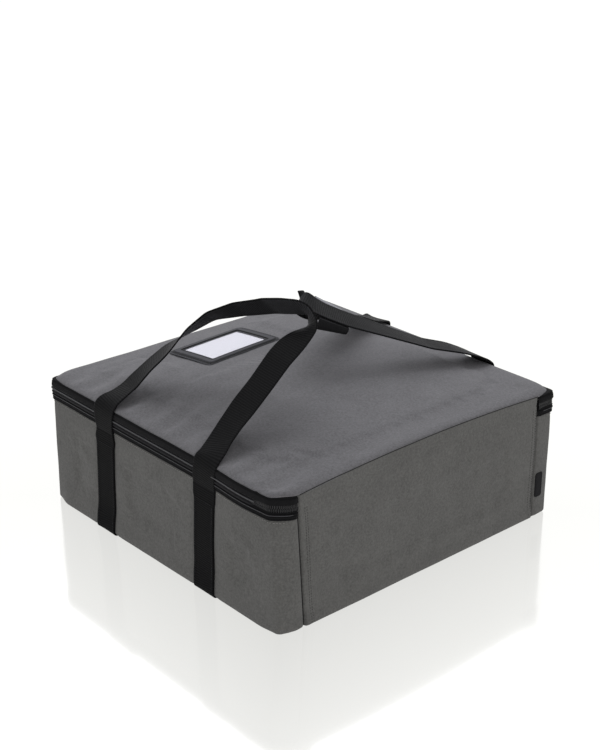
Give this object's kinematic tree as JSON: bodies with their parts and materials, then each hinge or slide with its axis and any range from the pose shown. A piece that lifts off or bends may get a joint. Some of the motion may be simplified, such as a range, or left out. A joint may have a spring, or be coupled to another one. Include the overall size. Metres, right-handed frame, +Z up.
{
  "type": "insulated carrying bag",
  "caption": "Square, flat, padded carrying bag with a zipped, crowned lid hinged on one side, webbing straps, two twisted carrying loops with a grip wrap, and a framed label pocket on the lid",
  "frame": {"origin": "middle of the base, at the height of the floor that the bag stands on", "axes": "+Z up, -Y out of the front face with the shown straps, +X out of the face that the lid hinges on"},
  "size_m": [0.4568, 0.4626, 0.3271],
  "materials": {
    "wall_fabric": "plain woven, slightly puckered",
    "base_fabric": "plain woven",
    "board": "matt sheet",
    "foam": "soft wadding",
    "lining": "reflective film on fabric",
    "zip_tape": "fine woven tape",
    "zip_chain": "coil",
    "webbing": "ribbed webbing",
    "lid_fabric": "plain woven",
    "label_frame": "matt, stepped",
    "label_window": "clear sheet",
    "label_card": "smooth card",
    "slider_metal": "dark coated",
    "hook_pile": "hook pile",
    "loop_pile": "soft loop pile"
  },
  "bodies": {
    "body": {"wall_band": "wall_fabric", "hinge_panel": "wall_fabric", "base_panel": "base_fabric", "base_board": "board", "base_foam": "foam", "base_lining": "lining", "front_foam": "foam", "left_foam": "foam", "back_foam": "foam", "right_foam": "foam", "wall_lining": "lining", "lower_zip_tape": "zip_tape", "lower_zip_chain": "zip_chain", "strap_front_left": "webbing", "strap_front_right": "webbing", "strap_back_left": "webbing", "strap_back_right": "webbing", "strap_base_left": "webbing", "strap_base_right": "webbing", "side_tab": "webbing"},
    "lid": {"lid_cover": "lid_fabric", "lid_foam": "foam", "lid_lining": "lining", "hinge_edge": "wall_fabric", "upper_zip_tape": "zip_tape", "upper_zip_chain": "zip_chain", "label_frame": "label_frame", "label_card": "label_card", "label_window": "label_window"},
    "front_slider": {"front_slider": "slider_metal"},
    "back_slider": {"back_slider": "slider_metal"},
    "front_pull": {"front_pull": "slider_metal"},
    "back_pull": {"back_pull": "slider_metal"},
    "front_handle": {"front_loop": "webbing"},
    "back_handle": {"back_loop": "webbing", "grip_centre": "hook_pile"},
    "far_flap": {"grip_far_flap": "loop_pile"},
    "near_flap": {"grip_near_flap": "hook_pile"}
  },
  "joints": [
    {"name": "lid_hinge", "type": "hinge", "parent": "body", "child": "lid", "pos_m": [0.227, 0, 0.15885], "axis": [0, 1, 0], "range_deg": [0, 180], "deforming": ["front_loop", "back_loop", "grip_centre", "grip_far_flap", "grip_near_flap"]},
    {"name": "front_handle_swing", "type": "hinge", "parent": "body", "child": "front_handle", "pos_m": [0, -0.2271, 0.138], "axis": [1, 0, 0], "range_deg": [0, 165]},
    {"name": "back_handle_swing", "type": "hinge", "parent": "body", "child": "back_handle", "pos_m": [0, 0.2271, 0.138], "axis": [-1, 0, 0], "range_deg": [0, 165]},
    {"name": "front_slider_travel", "type": "slide", "parent": "body", "child": "front_slider", "axis": [0, -1, 0], "range_m": [0, 0.166]},
    {"name": "back_slider_travel", "type": "slide", "parent": "body", "child": "back_slider", "axis": [0, 1, 0], "range_m": [0, 0.166]},
    {"name": "front_pull_hinge", "type": "hinge", "parent": "front_slider", "child": "front_pull", "pos_m": [-0.2286, -0.009, 0.1569], "axis": [0, 1, 0], "range_deg": [0, 165]},
    {"name": "back_pull_hinge", "type": "hinge", "parent": "back_slider", "child": "back_pull", "pos_m": [-0.2286, 0.009, 0.1569], "axis": [0, 1, 0], "range_deg": [0, 165]},
    {"name": "far_flap_hinge", "type": "hinge", "parent": "back_handle", "child": "far_flap", "pos_m": [0.00392, 0.04625, 0.26452], "axis": [0.4385, 0.7605, -0.4788], "range_deg": [0, 70]},
    {"name": "near_flap_hinge", "type": "hinge", "parent": "back_handle", "child": "near_flap", "pos_m": [0.03788, 0.02342, 0.25718], "axis": [-0.4608, -0.7789, 0.4254], "range_deg": [0, 70]}
  ]
}
